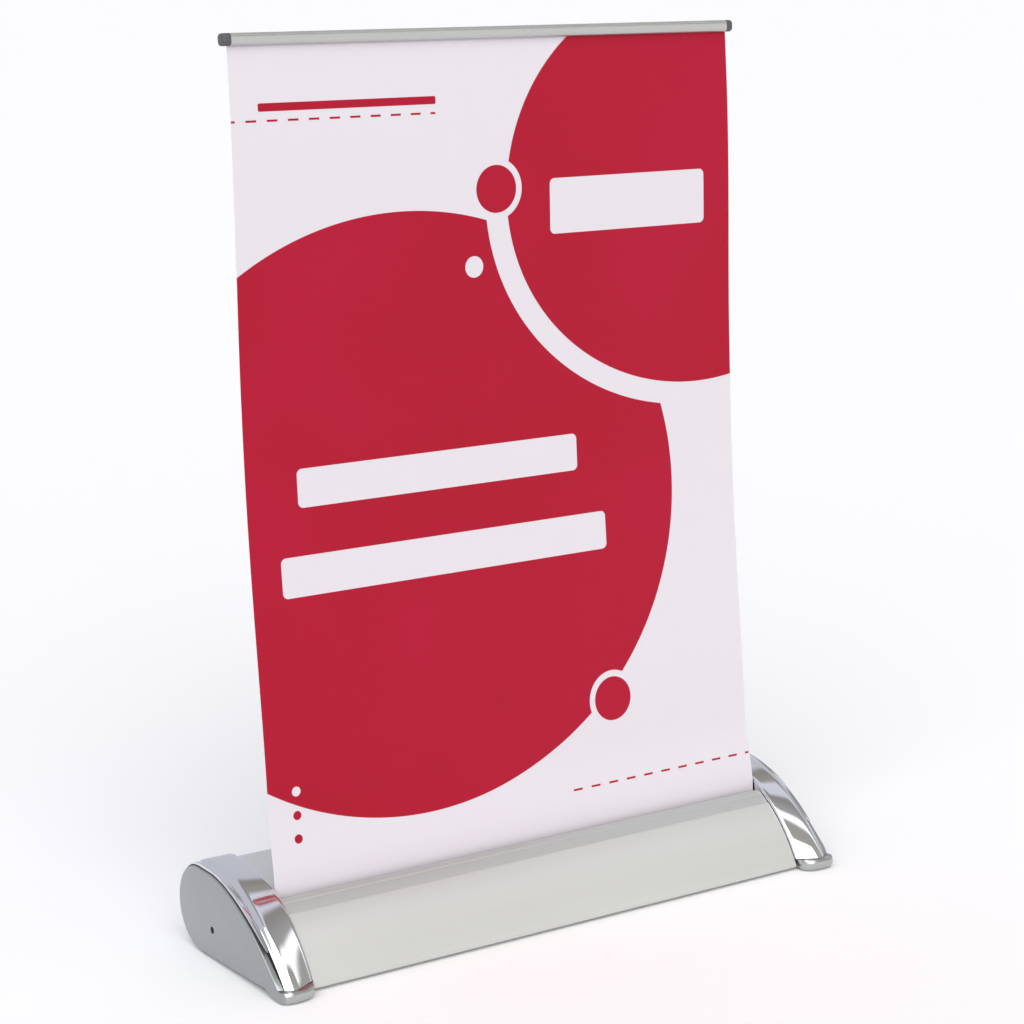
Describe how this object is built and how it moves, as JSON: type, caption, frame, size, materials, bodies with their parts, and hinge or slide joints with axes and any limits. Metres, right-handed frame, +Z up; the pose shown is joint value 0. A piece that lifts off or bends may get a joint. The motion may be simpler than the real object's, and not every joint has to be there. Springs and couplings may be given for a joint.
{
  "type": "roll-up banner stand",
  "caption": "Small tabletop roll-up banner stand: cassette with spring roller and end caps, printed film, top rail and rear pole in a socket.",
  "frame": {"origin": "on the table, under the middle of the whole stand", "axes": "+Z up, -Y the printed front, +X along the cassette to the viewer's right"},
  "size_m": [0.24, 0.075, 0.3179],
  "materials": {
    "satin_aluminium": "satin anodised, drawn along the length",
    "chrome": "bright chrome plating on plastic",
    "satin_chrome": "satin chrome plating on plastic",
    "steel": "zinc plated",
    "grey_plastic": "moulded",
    "dark_plastic": "moulded",
    "film": "matt printed film",
    "rubber": "matt"
  },
  "bodies": {
    "cassette": {"cassette_profile": "satin_aluminium", "left_end_frame": "chrome", "right_end_frame": "chrome", "left_cover_plate": "satin_chrome", "right_cover_plate": "satin_chrome", "left_frame_screw_1": "steel", "left_frame_screw_2": "steel", "left_frame_screw_3": "steel", "right_frame_screw_1": "steel", "right_frame_screw_2": "steel", "right_frame_screw_3": "steel", "left_rubber_pad": "rubber", "right_rubber_pad": "rubber", "spring_rod": "steel", "stub_axle": "steel", "spring_anchor": "grey_plastic", "torsion_spring": "steel", "inner_film_run": "film", "pole_socket": "dark_plastic"},
    "roller": {"roller_tube": "satin_aluminium", "film_roll": "film", "left_roller_plug": "grey_plastic", "right_roller_plug": "grey_plastic"},
    "rail": {"top_rail": "satin_aluminium", "film_clamp_strip": "grey_plastic", "left_rail_cap": "dark_plastic", "right_rail_cap": "dark_plastic", "pole_clip": "dark_plastic", "banner_film": "film"},
    "pole": {"pole_tube": "satin_aluminium", "pole_foot_plug": "dark_plastic", "pole_top_plug": "dark_plastic"}
  },
  "joints": [
    {"name": "banner_pull", "type": "slide", "parent": "cassette", "child": "rail", "axis": [0, 0.0819, 0.9966], "range_m": [-0.284, 0], "deforming": ["banner_film"]},
    {"name": "roller_spin", "type": "hinge", "parent": "cassette", "child": "roller", "pos_m": [0, 0.01315, 0.0111], "axis": [1, 0, 0], "range_deg": [-60, 2200]},
    {"name": "pole_lift", "type": "slide", "parent": "cassette", "child": "pole", "axis": [0, 0.0819, 0.9966], "range_m": [0, 0.3]}
  ],
  "couplings": [
    {"joint": "roller_spin", "follows": "banner_pull", "rad_per_m": -131.6}
  ]
}
